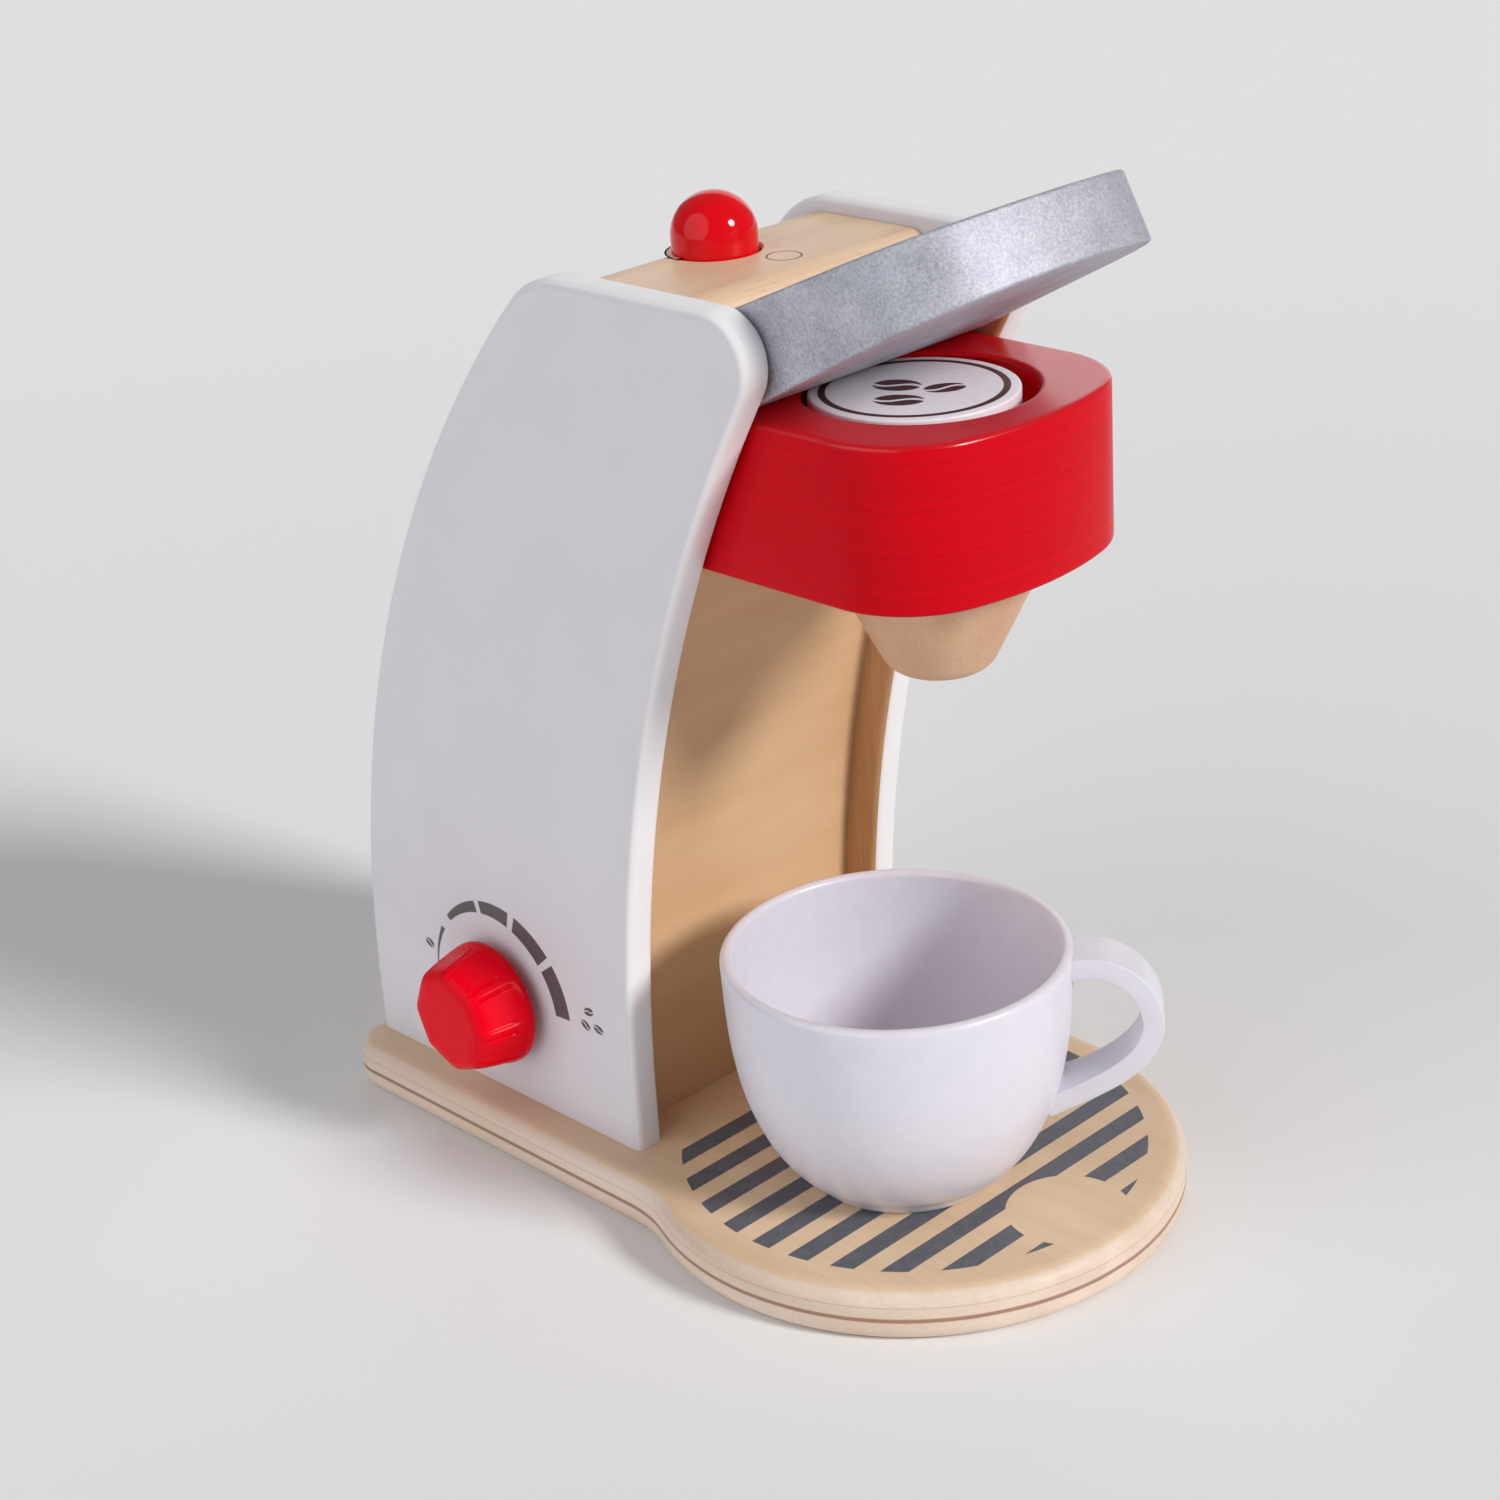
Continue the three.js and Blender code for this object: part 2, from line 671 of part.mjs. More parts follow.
function knobGroup() {
  const face = -panelOuterX;
  const knobX = face - spacerThickness - knobPlay;
  const collarX = -panelInnerX + collarPlay;
  const endX = collarX + collarThickness;
  const holeRadius = spindleRadius + dowelPlay;
  const group = new THREE.Group();
  group.position.set(0, knobY, knobHeight);
  const knob = piece('knob', knobBody(), 'red');
  knob.position.x = knobX;
  const shaft = solid(rodAlongX(spindleRadius, knobX - spindleInKnob + dowelPlay, endX));
  const bore = solid(rodAlongX(smallScrewRadius + screwPlay, endX - smallScrewLength, endX + overrun));
  const spacer = solid(rodAlongX(spacerRadius, face - spacerThickness, face));
  const spacerHole = solid(rodAlongX(holeRadius, face - spacerThickness - overrun, face + overrun));
  const collar = solid(rodAlongX(collarRadius, collarX, endX));
  const collarHole = solid(rodAlongX(holeRadius, collarX - overrun, endX + overrun));
  const screwHead = spindleRadius + spindleScrewLap;
  const screwBody = woodScrew(screwHead, smallScrewHeadHeight, smallScrewRadius, smallScrewLength);
  const screw = piece('spindle_screw', screwBody, 'zinc');
  screw.rotation.y = -quarterTurn;
  screw.position.x = endX + smallScrewHeadHeight;
  group.add(
    knob,
    piece('knob_spindle', shaft.subtract(bore), 'beech'),
    piece('knob_spacer', spacer.subtract(spacerHole), 'beech'),
    piece('spindle_collar', collar.subtract(collarHole), 'beech'),
    screw,
  );
  return group;
}

// Button: a domed plug whose collar stops it under the block
function buttonGroup() {
  const domeZ = blockTop + buttonRise - buttonStop;
  const points = [at(0, 0), at(buttonRadius, 0), ...arc(0, domeZ, buttonRadius, 0, quarterTurn)];
  const shankHole = rodAlongZ(smallScrewRadius + screwPlay, -overrun, smallScrewLength);
  const button = piece('button', solid(turned(points)).subtract(solid(shankHole)), 'red');
  const disc = solid(rodAlongZ(buttonCollarRadius, -buttonCollarThickness, 0));
  const discFoot = -buttonCollarThickness - overrun;
  const discHole = solid(rodAlongZ(smallScrewRadius + screwPlay, discFoot, overrun));
  const collar = piece('button_collar', disc.subtract(discHole), 'beech');
  const screwHead = smallScrewHeadRadius;
  const screwBody = woodScrew(screwHead, smallScrewHeadHeight, smallScrewRadius, smallScrewLength);
  const screw = piece('button_screw', screwBody, 'zinc');
  screw.position.z = -buttonCollarThickness - smallScrewHeadHeight;
  const group = new THREE.Group();
  group.position.set(0, buttonY, buttonStop);
  group.add(button, collar, screw);
  return group;
}

// Spring: one unbroken wire wound from the pocket's floor to the collar
function buttonSpring() {
  const floor = headTop - springPocketDepth;
  const ceiling = buttonStop - buttonCollarThickness;
  const height = ceiling - floor - 2 * (springWireRadius + springPlay);
  const steps = springTurns * springTurnSteps;
  const sides = springWireSides;
  const positions = [];
  const index = [];
  for (let i = 0; i <= steps; i += 1) {
    const turn = (i / springTurnSteps) * fullTurn;
    for (let k = 0; k < sides; k += 1) {
      const angle = (k / sides) * fullTurn;
      const r = springRadius + springWireRadius * Math.cos(angle);
      const z = (i / steps) * height + springWireRadius * Math.sin(angle);
      positions.push(r * Math.cos(turn), r * Math.sin(turn), z);
    }
  }
  for (let i = 0; i < steps; i += 1) {
    for (let k = 0; k < sides; k += 1) {
      const a = i * sides + k;
      const b = i * sides + ((k + 1) % sides);
      index.push(a, a + sides, b, b, a + sides, b + sides);
    }
  }
  const last = steps * sides;
  for (let k = 1; k < sides - 1; k += 1) {
    index.push(0, k, k + 1);
    index.push(last, last + k + 1, last + k);
  }
  const geometry = new THREE.BufferGeometry();
  geometry.setAttribute('position', new THREE.Float32BufferAttribute(positions, 3));
  geometry.setIndex(index);
  const node = piece('button_spring', solid(geometry), 'steel');
  node.position.set(0, buttonY, floor + springWireRadius + springPlay);
  return node;
}

// Cup: a turned bowl with an open top, joined to a strap handle
function cupBowl() {
  return solid(turned([
    at(0, 0),
    at(cupFootRadius, 0),
    ...cupWallShares.map(([up, out]) => at(cupRimRadius * out, cupHeight * up)),
    at(cupRimRadius, cupHeight - cupRimRound),
    at(cupRimRadius - cupRimRound, cupHeight),
    at(0, cupHeight),
  ]));
}

function cupHollow() {
  const depth = cupHeight - cupFloor;
  const wall = cupWallShares.slice(1);
  return solid(turned([
    at(0, cupFloor),
    at(cupFootRadius - cupWall, cupFloor),
    ...wall.map(([up, out]) => at(cupRimRadius * out - cupWall, cupFloor + depth * up)),
    at(cupRimRadius - cupWall, cupHeight + overrun),
    at(0, cupHeight + overrun),
  ]));
}

function cupHandle() {
  const half = handleThickness / 2;
  const start = cupFootRadius;
  const rise = cupHeight - handleTopDrop - handleFootHeight - handleThickness;
  const line = new THREE.SplineCurve(handleLineShares.map(([out, up]) => at(
    start + (handleReach - half - start) * out,
    handleFootHeight + half + rise * up,
  )));
  const steps = 2 * handleLineShares.length;
  const outer = [];
  const inner = [];
  for (let i = 0; i <= steps; i += 1) {
    const place = line.getPoint(i / steps);
    const along = line.getTangent(i / steps);
    outer.push(at(place.x - along.y * half, place.y + along.x * half));
    inner.push(at(place.x + along.y * half, place.y - along.x * half));
  }
  const strap = plate([...outer, ...inner.reverse()], handleWidth, handleEdgeRound);
  return solid(strap.translate(0, 0, -handleWidth / 2).rotateX(quarterTurn));
}

function cup() {
  const body = cupBowl().add(cupHandle()).subtract(cupHollow());
  const node = piece('cup', body, 'cup');
  node.position.set(cupX, cupY, baseThickness);
  node.rotation.z = THREE.MathUtils.degToRad(handleTurn);
  return node;
}

const coffeeMaker = new THREE.Group();
coffeeMaker.add(
  baseBoard(),
  ...baseScrews(),
  sidePanel('side_panel_left', -1),
  sidePanel('side_panel_right', 1),
  frontBoard(),
  backBoard(),
  topBlock(),
  brewHead(),
  ...dowels(),
  spout(),
  coffeePad(),
  lid(),
  ...lidPins(),
  knobGroup(),
  buttonGroup(),
  buttonSpring(),
  cup(),
);

export default coffeeMaker;
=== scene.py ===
# Toy coffee maker in painted and bare wood: the looks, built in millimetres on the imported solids.
import math

import bmesh
import bpy
from mathutils import Matrix, Vector


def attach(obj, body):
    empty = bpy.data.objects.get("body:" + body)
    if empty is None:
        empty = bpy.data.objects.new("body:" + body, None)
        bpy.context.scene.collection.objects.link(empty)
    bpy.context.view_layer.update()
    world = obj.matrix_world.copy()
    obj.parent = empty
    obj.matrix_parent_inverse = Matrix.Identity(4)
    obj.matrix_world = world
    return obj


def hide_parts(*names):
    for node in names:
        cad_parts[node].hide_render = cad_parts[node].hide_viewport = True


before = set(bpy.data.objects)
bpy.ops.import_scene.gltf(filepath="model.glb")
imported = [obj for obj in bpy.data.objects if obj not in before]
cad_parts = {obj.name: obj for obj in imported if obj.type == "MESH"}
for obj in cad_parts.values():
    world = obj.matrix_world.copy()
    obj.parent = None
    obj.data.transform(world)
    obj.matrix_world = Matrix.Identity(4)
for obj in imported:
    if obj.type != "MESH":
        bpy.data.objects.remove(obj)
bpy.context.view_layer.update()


# The studio: a pale floor under a white sky, a soft lamp from the front right, wider and weaker
# ones from the left and from behind, and the photograph's viewpoint.
def srgb(red, green, blue):
    """A colour read as 0 to 255 on a screen, as the shaders want it."""
    parts = [value / 255 for value in (red, green, blue)]
    return [p / 12.92 if p < 0.04 else ((p + 0.055) / 1.055) ** 2.4 for p in parts] + [1.0]


class Field:
    """A value over a surface: one output of a shader node. Arithmetic on it adds Math nodes."""

    def __init__(self, tree, output):
        self.tree = tree
        self.output = output

    def add(self, kind, settings, inputs, output=0):
        """Any other node: its settings are set first, then its sockets' values or links."""
        node = self.tree.nodes.new(kind)
        for name, value in settings.items():
            if name == "stops":
                for i, (share, colour) in enumerate(value):
                    stops = node.color_ramp.elements
                    stop = stops[i] if i < 2 else stops.new(share)
                    stop.position = share
                    stop.color = colour
            else:
                setattr(node, name, value)
        for name, value in inputs.items():
            if isinstance(value, Field):
                self.tree.links.new(value.output, node.inputs[name])
            else:
                node.inputs[name].default_value = value
        return Field(self.tree, node.outputs[output])

    def math(self, operation, *values):
        return self.add("ShaderNodeMath", {"operation": operation}, dict(enumerate(values)))

    def __add__(self, other):
        return self.math("ADD", self, other)

    def __radd__(self, other):
        return self.math("ADD", other, self)

    def __sub__(self, other):
        return self.math("SUBTRACT", self, other)

    def __rsub__(self, other):
        return self.math("SUBTRACT", other, self)

    def __mul__(self, other):
        return self.math("MULTIPLY", self, other)

    def __rmul__(self, other):
        return self.math("MULTIPLY", other, self)

    def __truediv__(self, other):
        return self.math("DIVIDE", self, other)

    def __pow__(self, other):
        return self.math("POWER", self, other)

    def __abs__(self):
        return self.math("ABSOLUTE", self)

    def least(self, other):
        return self.math("MINIMUM", self, other)

    def most(self, other):
        return self.math("MAXIMUM", self, other)

    def ramp(self, low, high):
        """0 below the low value and 1 above the high one, with a smooth rise between."""
        limits = {"From Min": low, "From Max": high, "Value": self}
        return self.add("ShaderNodeMapRange", {"interpolation_type": "SMOOTHSTEP"}, limits)

    def parts(self):
        split = self.add("ShaderNodeSeparateXYZ", {}, {0: self}).output.node
        return [Field(self.tree, output) for output in split.outputs]

    def stretch(self, scales):
        return self.add("ShaderNodeVectorMath", {"operation": "MULTIPLY"}, {0: self, 1: scales})

    def noise(self, scales, detail=3.0, roughness=0.55):
        """Soft noise with its own scale along x, y and z, in repeats per millimetre."""
        sockets = {
            "Vector": self.stretch(scales), "Scale": 1.0, "Detail": detail, "Roughness": roughness,
        }
        return self.add("ShaderNodeTexNoise", {}, sockets)

    def mix(self, low, high):
        """The colour at this share of the way from one colour to another."""
        return self.add("ShaderNodeMix", {"data_type": "RGBA"}, {0: self, 6: low, 7: high}, 2)

    def relief(self, depth, strength=1.0):
        """A bump whose full height is a depth in millimetres."""
        sockets = {"Strength": strength, "Distance": depth / 1000, "Height": self}
        return self.add("ShaderNodeBump", {}, sockets)


def hypot(a, b):
    """The length of the slope over two fields at right angles."""
    return (a * a + b * b) ** 0.5


def new_finish(name):
    """A material and the place on the piece that it is painted by, in millimetres."""
    material = bpy.data.materials.new(name)
    material.use_nodes = True
    tree = material.node_tree
    place = Field(tree, tree.nodes.new("ShaderNodeTexCoord").outputs["Object"])
    return material, place.stretch((1000, 1000, 1000))


def coat(material, **sockets):
    """Sets what the finish is made of: fixed values on the shader, and fields linked to it."""
    shader = material.node_tree.nodes["Principled BSDF"]
    for name, value in sockets.items():
        socket = shader.inputs[name.replace("_", " ")]
        if isinstance(value, Field):
            material.node_tree.links.new(value.output, socket)
        else:
            socket.default_value = value


floor_finish, place = new_finish("floor")
x, y, z = place.parts()
far = hypot(x, y).ramp(260, 900)
coat(floor_finish, Base_Color=far.mix(srgb(240, 240, 240), srgb(246, 246, 246)), Roughness=0.9)
bm = bmesh.new()
bmesh.ops.create_grid(bm, x_segments=1, y_segments=1, size=8)
mesh = bpy.data.meshes.new("floor")
bm.to_mesh(mesh)
bm.free()
mesh.materials.append(floor_finish)
floor = bpy.data.objects.new("floor", mesh)
bpy.context.scene.collection.objects.link(floor)

sky = bpy.data.worlds.new("sky")
sky.use_nodes = True
tree = sky.node_tree
background = tree.nodes["Background"]
background.inputs["Color"].default_value = srgb(250, 251, 255)
ray = tree.nodes.new("ShaderNodeLightPath")
seen = Field(tree, ray.outputs["Is Camera Ray"])
tree.links.new((0.22 + 0.78 * seen).output, background.inputs["Strength"])
bpy.context.scene.world = sky

for name, strength, width, direction, tint in (
    ("key lamp", 2.45, 15, (0.20, -0.83, 0.50), (1.0, 0.985, 0.965)),
    ("fill lamp", 1.2, 70, (-0.90, 0.12, 0.42), (0.97, 0.98, 1.0)),
    ("rim lamp", 0.5, 50, (0.75, 0.60, 0.26), (1.0, 1.0, 1.0)),
):
    lamp = bpy.data.lights.new(name, "SUN")
    lamp.energy = strength
    lamp.angle = math.radians(width)
    lamp.color = tint
    stand = bpy.data.objects.new(name, lamp)
    stand.rotation_euler = Vector(direction).to_track_quat("Z", "Y").to_euler()
    bpy.context.scene.collection.objects.link(stand)

lens = bpy.data.cameras.new("camera")
lens.sensor_width = 36
lens.lens = 70.46
lens.clip_start = 0.01
camera = bpy.data.objects.new("camera", lens)
camera.location = (-0.3721, -0.3903, 0.3278)
camera.rotation_euler = [math.radians(angle) for angle in (66.004, 3.554, -44.875)]
bpy.context.scene.collection.objects.link(camera)
bpy.context.scene.camera = camera

bpy.context.scene.view_settings.view_transform = "Standard"


# Base board: 11 mm birch plywood, a round tray in front and a straight tail under the body. It is
# cut out on a router, its edges are rounded over, and grey stripes are printed on the tray.
def arc_steps(radius, degrees):
    """Enough steps to keep an arc's chords within a hundredth of a millimetre."""
    return max(2, math.ceil(math.radians(abs(degrees)) / (2 * math.acos(1 - 0.01 / radius))))


def draw(bm, start, moves):
    """A wire in the plane z = 0. A move of two numbers runs straight to that point, and one of
    three turns about the point of its first two by the third, in degrees."""
    known = set(bm.edges)
    tip = bm.verts.new((*start, 0))
    for move in moves:
        if len(move) == 2:
            tip = bmesh.ops.extrude_vert_indiv(bm, verts=[tip])["verts"][0]
            tip.co = (*move, 0)
        else:
            centre = Vector((*move[:2], 0))
            turned = bmesh.ops.spin(
                bm, geom=[tip], cent=centre, axis=(0, 0, 1), angle=math.radians(move[2]),
                steps=arc_steps((tip.co - centre).length, move[2]), use_duplicate=False,
            )
            tip = [part for part in turned["geom_last"] if isinstance(part, bmesh.types.BMVert)][0]
    return [edge for edge in bm.edges if edge not in known]


def plate(start, moves, thickness, rounding, segments=4):
    """A closed outline pushed up by a thickness, with both its rims rounded."""
    bm = bmesh.new()
    draw(bm, start, moves)
    bmesh.ops.remove_doubles(bm, verts=bm.verts, dist=0.002)
    face = bmesh.ops.contextual_create(bm, geom=bm.edges[:])["faces"]
    sides = bmesh.ops.extrude_face_region(bm, geom=face)["geom"]
    lifted = [part for part in sides if isinstance(part, bmesh.types.BMVert)]
    bmesh.ops.translate(bm, vec=(0, 0, thickness), verts=lifted)
    bmesh.ops.recalc_face_normals(bm, faces=bm.faces[:])
    round_off(bm, rounding, segments)
    return bm


def round_off(bm, rounding, segments):
    """Rounds the sharp edges."""
    sharp = [edge for edge in bm.edges if edge.calc_face_angle(0) > 0.7]
    if rounding:
        bmesh.ops.bevel(
            bm, geom=sharp, offset=rounding, offset_type="OFFSET", affect="EDGES",
            segments=segments, profile=0.5, material=-1, clamp_overlap=True,
        )


def ring_flats(bm, width=0.3, area=60):
    """A narrow ring inside each wide flat face keeps its middle flat to the light."""
    flats = [face for face in bm.faces if len(face.verts) > 4 and face.calc_area() > area]
    for face in flats:
        bmesh.ops.inset_region(bm, faces=[face], thickness=width, use_even_offset=True)


def bore(bm, x, y, profile, steps=72):
    """Sinks a turned hole: a profile of radius and height, from its rim inwards, about a place
    on a flat face that it opens."""
    known = set(bm.edges)
    wire = draw(bm, profile[0], profile[1:])
    corners = list({corner for edge in wire for corner in edge.verts})
    bmesh.ops.rotate(bm, cent=(0, 0, 0), matrix=Matrix.Rotation(math.pi / 2, 3, "X"), verts=corners)
    bmesh.ops.spin(
        bm, geom=wire + corners, cent=(0, 0, 0), axis=(0, 0, 1), angle=2 * math.pi,
        steps=steps, use_merge=True, use_duplicate=False,
    )
    made = [edge for edge in bm.edges if edge not in known]
    points = list({corner for edge in made for corner in edge.verts})
    bmesh.ops.translate(bm, vec=(x, y, 0), verts=points)
    bmesh.ops.remove_doubles(bm, verts=points, dist=0.002)
    rims = [edge for edge in bm.edges if edge not in known and edge.is_boundary]
    for height in {round(edge.verts[0].co.z, 3) for edge in rims}:
        rim = [edge for edge in rims if abs(edge.verts[0].co.z - height) < 0.002]
        flat = [
            face for face in bm.faces
            if all(abs(corner.co.z - height) < 0.002 for corner in face.verts)
            and bmesh.geometry.intersect_face_point(face, Vector((x, y, height)))
            and not any(edge in rim for edge in face.edges)
        ]
        # A face that an earlier bore cut up is gathered from its triangles
        for face in flat:
            flat += {
                other for edge in face.edges for other in edge.link_faces
                if other not in flat and len(face.verts) == len(other.verts) == 3
                and all(abs(corner.co.z - height) < 0.002 for corner in other.verts)
            }
        border = {}
        for face in flat:
            for edge in face.edges:
                border[edge] = border.get(edge, 0) + 1
        border = [edge for edge, uses in border.items() if uses == 1]
        bmesh.ops.delete(bm, geom=flat, context="FACES")
        bmesh.ops.triangle_fill(bm, use_beauty=True, use_dissolve=False, edges=border + rim)


def piece(bm, name, finish, creased=38):
    """A finished mesh in millimetres becomes an object in metres, with its place in its mesh."""
    bmesh.ops.remove_doubles(bm, verts=bm.verts[:], dist=0.001)
    bmesh.ops.recalc_face_normals(bm, faces=bm.faces[:])
    bmesh.ops.scale(bm, vec=(0.001, 0.001, 0.001), verts=bm.verts[:])
    mesh = bpy.data.meshes.new(name)
    bm.to_mesh(mesh)
    bm.free()
    for face in mesh.polygons:
        face.use_smooth = True
    mesh.set_sharp_from_angle(angle=math.radians(creased))
    mesh.materials.append(finish)
    made = bpy.data.objects.new(name, mesh)
    bpy.context.scene.collection.objects.link(made)
    return made


def grain(place, along):
    """Timber figure: how dark the wood is, from broad bands and fine fibres along one axis."""
    broad = [0.10, 0.10, 0.10]
    fine = [1.9, 1.9, 1.9]
    broad["xyz".index(along)] = 0.012
    fine["xyz".index(along)] = 0.05
    return place.noise(broad, 2.0), place.noise(fine, 4.0, 0.65)


BASE_TOP = 11
TRAY_Y = -36
TRAY_RADIUS = 55
NECK_RADIUS = 30
TAIL_HALF = 48
TAIL_END = 91
tail_corner = 9
neck_x = TAIL_HALF + NECK_RADIUS
neck_reach = math.sqrt((TRAY_RADIUS + NECK_RADIUS) ** 2 - neck_x ** 2)
neck_turn = math.degrees(math.atan2(neck_reach, neck_x))
neck_y = TRAY_Y + neck_reach
corner_x, corner_y = TAIL_HALF - tail_corner, TAIL_END - tail_corner
bm = plate(
    (-corner_x, TAIL_END),
    [
        (-corner_x, corner_y, 90), (-TAIL_HALF, neck_y), (-neck_x, neck_y, -neck_turn),
        (0, TRAY_Y, 180 + 2 * neck_turn), (neck_x, neck_y, -neck_turn), (TAIL_HALF, corner_y),
        (corner_x, corner_y, 90), (-corner_x, TAIL_END),
    ],
    BASE_TOP, 3.4, 6,
)
ring_flats(bm)
for x_screw in (-35.75, 35.75):
    for y_screw in (19, 73):
        bore(bm, x_screw, y_screw, [(4.5, 0), (4.2, 0), (3.9, 0.3), (3.9, 4), (0, 4)], 32)

birch_board, place = new_finish("printed birch plywood")
x, y, z = place.parts()
broad, fine = grain(place, "y")
veneer = (broad * 0.6 + fine * 0.4).ramp(0.3, 0.7).mix(srgb(230, 202, 170), srgb(216, 186, 152))
speckle = place.noise((0.9, 0.9, 2.6), 4.0, 0.7)
layers = (speckle * 0.4 + broad * 0.6).ramp(0.3, 0.7).mix(srgb(234, 215, 198), srgb(219, 196, 176))
glue_line = (abs(z - 5.4 + broad * 0.4) - 0.26).ramp(0.34, 0.0)
thin_line = (abs(z - 7.9) - 0.05).ramp(0.2, 0.0) * 0.25
core = (glue_line * 0.85 + thin_line).mix(layers, srgb(150, 106, 78))
wood = z.ramp(10.25, 10.75).mix(core, veneer)
stripe_pitch = 8.66
band = (-2.1 - y) / stripe_pitch
across = (band - band.math("FLOOR", band)) * stripe_pitch
stripe = across.ramp(4.38, 4.28) * across.ramp(-0.05, 0.05)
in_tray = (hypot(x, y - TRAY_Y) - 47.3).ramp(0.08, -0.08)
off_disc = (hypot(x, y + 76.5) - 12.2).ramp(-0.08, 0.08)
print_here = stripe * in_tray * off_disc * y.ramp(-2.0, -2.2) * z.ramp(10.7, 10.9)
worn = place.noise((0.5, 0.5, 0.5), 5.0, 0.7).ramp(0.2, 0.75)
ink = worn.mix(srgb(104, 106, 114), srgb(88, 90, 99))
coat(
    birch_board, Base_Color=print_here.mix(wood, ink), Roughness=0.46 + fine * 0.14,
    Specular_IOR_Level=0.3, Coat_Weight=0.1, Coat_Roughness=0.3, Normal=fine.relief(0.03, 0.6),
)
base_board = piece(bm, "base_board_wood", birch_board)
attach(base_board, "housing")
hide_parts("base_board")


# Side panels: 7 mm board with bowed front and rear edges, all rounded over, in satin white
# lacquer, with a painted highlight along the rounded edges. Their inside faces are bare wood
# toward the front, and up under the lid that dark wood is painted shade; the left one carries
# the dial's printed scale.
CURVE_START = 21
FRONT_ARC = (-296, CURVE_START, 300)
REAR_ARC = (-149, CURVE_START, 237)
PANEL_INSIDE = 32.25
PANEL_THICKNESS = 7
PANEL_FRONT = FRONT_ARC[0] + FRONT_ARC[2]
PANEL_REAR = REAR_ARC[0] + REAR_ARC[2]
BODY_TOP = 193
DIAL_Y, DIAL_Z = 43.5, 33.7


def top_corner(arc, rounding, top, hollow):
    """Where a corner's rounding under a level top touches a panel's bowed edge: the corner's
    centre, and the bowed edge's angle there in degrees."""
    rise = top - rounding - arc[1]
    reach = arc[2] + rounding if hollow else arc[2] - rounding
    along = arc[0] + math.sqrt(reach ** 2 - rise ** 2)
    return along, top - rounding, math.degrees(math.asin(rise / reach))


# Stands an outline drawn in y and z upright, so that its thickness runs along x
UPRIGHT = Matrix(((0, 0, 1, 0), (1, 0, 0, 0), (0, 1, 0, 0), (0, 0, 0, 1)))
front_y, front_z, front_turn = top_corner(FRONT_ARC, 10, BODY_TOP, True)
rear_y, rear_z, rear_turn = top_corner(REAR_ARC, 20, BODY_TOP, False)

paint, place = new_finish("satin white lacquer")
x, y, z = place.parts()
# Bare wood on the inside faces toward the front. Where it runs up beside the pad under the lid, to
# about z 182, the dark wood is painted shade.
inside = (abs(x) - 33.1).ramp(0.06, -0.06) * (z + 4 * (y + 12).most(0)).ramp(184, 181)
# Painted highlight: over the rounded edges, away from the two flat faces, the lacquer is painted a
# lighter white.
edge = abs(abs(x) - (PANEL_INSIDE + PANEL_THICKNESS / 2)).ramp(3.46, 3.0)
mist = place.noise((0.05, 0.05, 0.05), 3.0, 0.5)
broad, fine = grain(place, "z")
figure = (broad * 0.55 + fine * 0.45).ramp(0.3, 0.7)
bare_wood_and_shade = figure.mix(srgb(212, 168, 122), srgb(190, 142, 98))
faces = mist.ramp(0.2, 0.8).mix(srgb(224, 221, 227), srgb(220, 217, 223))
# The faces' white, with the painted highlight on the rounded edges.
white = edge.mix(faces, srgb(240, 238, 240))
sweep = hypot(y - DIAL_Y, z - DIAL_Z)
lead = hypot(y - 45.5, z - 32.8)
angle = z.math("ARCTAN2", z - DIAL_Z, DIAL_Y - y) * (180 / math.pi)
dash = 0
for start, end in ((150, 178), (108, 140), (78, 104), (42, 73), (4, 37)):
    dash = dash + angle.ramp(start - 0.3, start + 0.3) * angle.ramp(end + 0.3, end - 0.3)
scale = dash * sweep.ramp(21.5, 21.3) * lead.ramp(19.0, 19.15)


def bean(u, v, u_middle, v_middle, length, width, turn):
    """A printed bean: an oval turned by degrees, with a bowed line left open along its middle."""
    cos, sin = math.cos(math.radians(turn)), math.sin(math.radians(turn))
    along = (u - u_middle) * cos + (v - v_middle) * sin
    across = (v - v_middle) * cos - (u - u_middle) * sin
    oval = hypot(along / (length / 2), across / (width / 2)).ramp(1.04, 0.96)
    slit = abs(across - 0.12 * width * along.math("SINE", along * (6.0 / length)))
    return oval * slit.ramp(0.05 * width, 0.10 * width)


for y_bean, z_bean, turn in (
    (66.9, 38.7, 20), (15.9, 39.5, -15), (17.2, 36.0, 25), (13.3, 36.3, 10),
):
    scale = scale + bean(y, z, y_bean, z_bean, 3.0, 1.9, turn)
scale = scale.least(1.0) * x.ramp(-38.6, -38.8)
shown = scale.mix(white, srgb(92, 84, 88))
